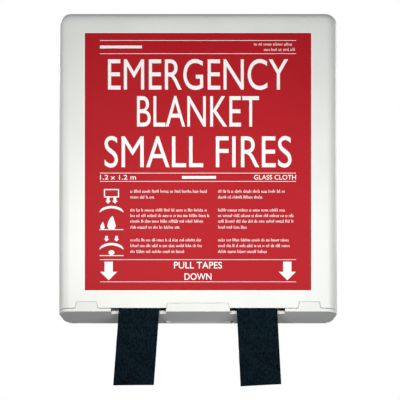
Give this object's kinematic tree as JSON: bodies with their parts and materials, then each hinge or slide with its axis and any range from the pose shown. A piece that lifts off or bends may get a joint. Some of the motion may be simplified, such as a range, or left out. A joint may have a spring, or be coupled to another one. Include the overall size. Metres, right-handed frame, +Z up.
{
  "type": "fire blanket",
  "caption": "Wall case with a folded fire blanket, a hinged bottom flap lapped by tongues, and two pull tapes that hang below its lower edge.",
  "frame": {"origin": "centre of the flat back face that lies against the wall", "axes": "+Z up, +Y into the wall, so the front faces -Y; +X to the right seen from the front"},
  "size_m": [0.279, 0.0404, 0.3736],
  "materials": {
    "white_abs": "fine satin moulding",
    "back_abs": "fine satin moulding",
    "label_film": "semi-gloss printed film",
    "glass_cloth": "woven, dry",
    "navy_webbing": "woven, matt",
    "white_thread": "twisted",
    "zinc_steel": "zinc plated"
  },
  "bodies": {
    "case": {"front_cover": "white_abs", "back_shell": "back_abs", "hinge_pin": "zinc_steel", "label_sheet": "label_film", "cover_screw_upper_left": "zinc_steel", "cover_screw_upper_right": "zinc_steel", "cover_screw_lower_left": "zinc_steel", "cover_screw_lower_right": "zinc_steel", "blanket_pack": "glass_cloth"},
    "flap": {"bottom_flap": "white_abs"},
    "lead_fold": {"blanket_lead_fold": "glass_cloth", "left_tape_sewn": "navy_webbing", "right_tape_sewn": "navy_webbing", "left_tape_stitching": "white_thread", "right_tape_stitching": "white_thread"},
    "left_tape": {"left_tape_hanging": "navy_webbing"},
    "right_tape": {"right_tape_hanging": "navy_webbing"}
  },
  "joints": [
    {"name": "blanket_pull", "type": "slide", "parent": "case", "child": "lead_fold", "axis": [0, 0, -1], "range_m": [0, 0.07]},
    {"name": "flap_open", "type": "hinge", "parent": "case", "child": "flap", "pos_m": [0, -0.006, -0.15327], "axis": [1, 0, 0], "range_deg": [0, 108]},
    {"name": "left_tape_swing", "type": "hinge", "parent": "lead_fold", "child": "left_tape", "pos_m": [-0.059, -0.03635, -0.141], "axis": [-1, 0, 0], "range_deg": [0, 75]},
    {"name": "right_tape_swing", "type": "hinge", "parent": "lead_fold", "child": "right_tape", "pos_m": [0.059, -0.03635, -0.141], "axis": [-1, 0, 0], "range_deg": [0, 75]}
  ],
  "couplings": [
    {"joint": "flap_open", "follows": "blanket_pull", "rad_per_m": 26.928}
  ]
}
